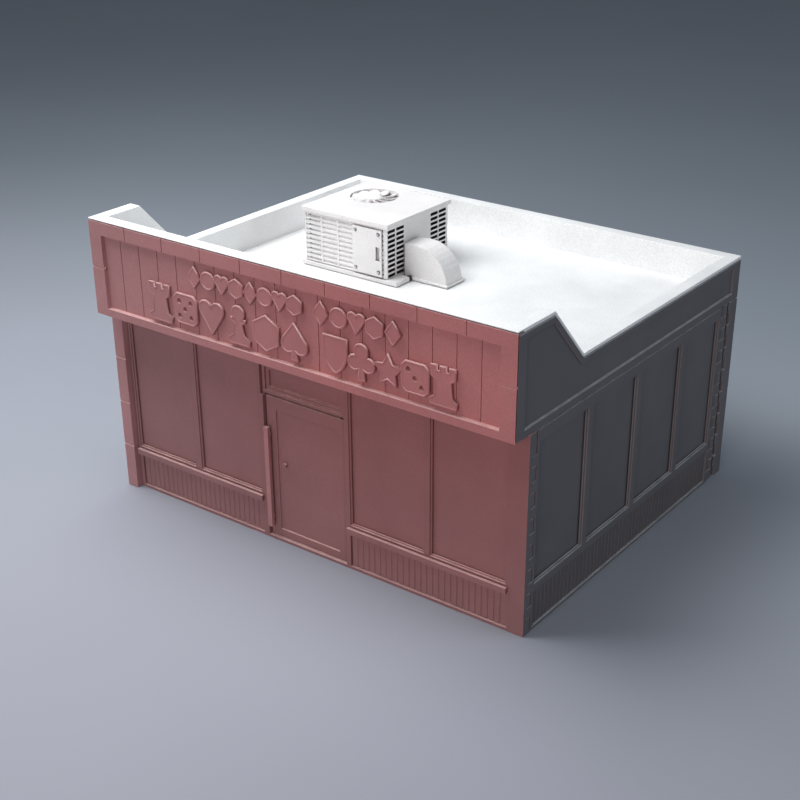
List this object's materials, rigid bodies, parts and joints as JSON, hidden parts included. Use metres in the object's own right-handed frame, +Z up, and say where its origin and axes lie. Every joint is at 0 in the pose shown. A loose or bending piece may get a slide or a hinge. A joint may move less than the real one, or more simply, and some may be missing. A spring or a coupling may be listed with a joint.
{
  "type": "miniature carry case",
  "caption": "Carry case for tabletop miniatures shaped as a one-storey shop, with a lift-off parapet roof, a swinging side wall and a hinged entry door.",
  "frame": {"origin": "on the ground under the middle of the case", "axes": "+X to the right of the shop front, the front faces -Y, +Z up"},
  "size_m": [0.15, 0.127, 0.091],
  "materials": {
    "rose_print": "dusty rose printed plastic, faint layer lines",
    "charcoal_print": "charcoal grey printed plastic, faint layer lines",
    "white_print": "white printed plastic, faint layer lines",
    "steel": "plain steel",
    "magnet_nickel": "nickel-plated magnet"
  },
  "bodies": {
    "case": {"base_tray": "charcoal_print", "steel_floor_sheet": "steel", "base_catch_magnet": "magnet_nickel", "front_wall": "rose_print", "front_left_panes": "rose_print", "front_right_panes": "rose_print", "front_left_beadboard": "rose_print", "front_right_beadboard": "rose_print", "front_left_sill": "rose_print", "front_right_sill": "rose_print", "corner_pilaster": "rose_print", "transom_window": "rose_print", "door_hinge_pin_1": "steel", "door_hinge_pin_2": "steel", "left_wall": "charcoal_print", "left_wall_panes": "charcoal_print", "left_wall_beadboard": "charcoal_print", "back_wall": "charcoal_print", "service_door": "charcoal_print", "service_door_knob": "steel", "rear_magnet_block_1": "charcoal_print", "rear_magnet_block_2": "charcoal_print", "swing_wall_pin": "steel", "case_magnet_1": "magnet_nickel", "case_magnet_2": "magnet_nickel", "case_magnet_3": "magnet_nickel", "case_magnet_4": "magnet_nickel"},
    "side_wall": {"swing_wall": "charcoal_print", "swing_wall_panes": "charcoal_print", "swing_wall_beadboard": "charcoal_print", "swing_wall_catch_magnet": "magnet_nickel"},
    "entry_door": {"door_leaf": "rose_print", "door_handle": "rose_print", "door_lock": "steel"},
    "lid": {"roof_tray": "white_print", "sign_fascia": "rose_print", "right_fascia": "charcoal_print", "left_fascia": "charcoal_print", "rear_fascia": "charcoal_print", "lid_locating_bar_1": "white_print", "lid_locating_bar_2": "white_print", "lid_locating_bar_3": "white_print", "unit_curb": "white_print", "unit_cabinet": "white_print", "unit_lid": "white_print", "unit_fan": "white_print", "unit_fan_motor": "white_print", "unit_access_panel": "white_print", "unit_panel_screw_1": "steel", "unit_panel_screw_2": "steel", "unit_panel_screw_3": "steel", "unit_panel_screw_4": "steel", "unit_duct": "white_print", "lid_magnet_1": "magnet_nickel", "lid_magnet_2": "magnet_nickel", "lid_magnet_3": "magnet_nickel", "lid_magnet_4": "magnet_nickel"}
  },
  "joints": [
    {"name": "lid_lift", "type": "slide", "parent": "case", "child": "lid", "axis": [0, 0, 1], "range_m": [0, 0.09]},
    {"name": "side_wall_hinge", "type": "hinge", "parent": "case", "child": "side_wall", "pos_m": [0.072, 0.0562, 0.03], "axis": [0, 0, 1], "range_deg": [0, 90]},
    {"name": "entry_door_hinge", "type": "hinge", "parent": "case", "child": "entry_door", "pos_m": [0.0126, -0.054, 0.024], "axis": [0, 0, 1], "range_deg": [0, 90]}
  ]
}
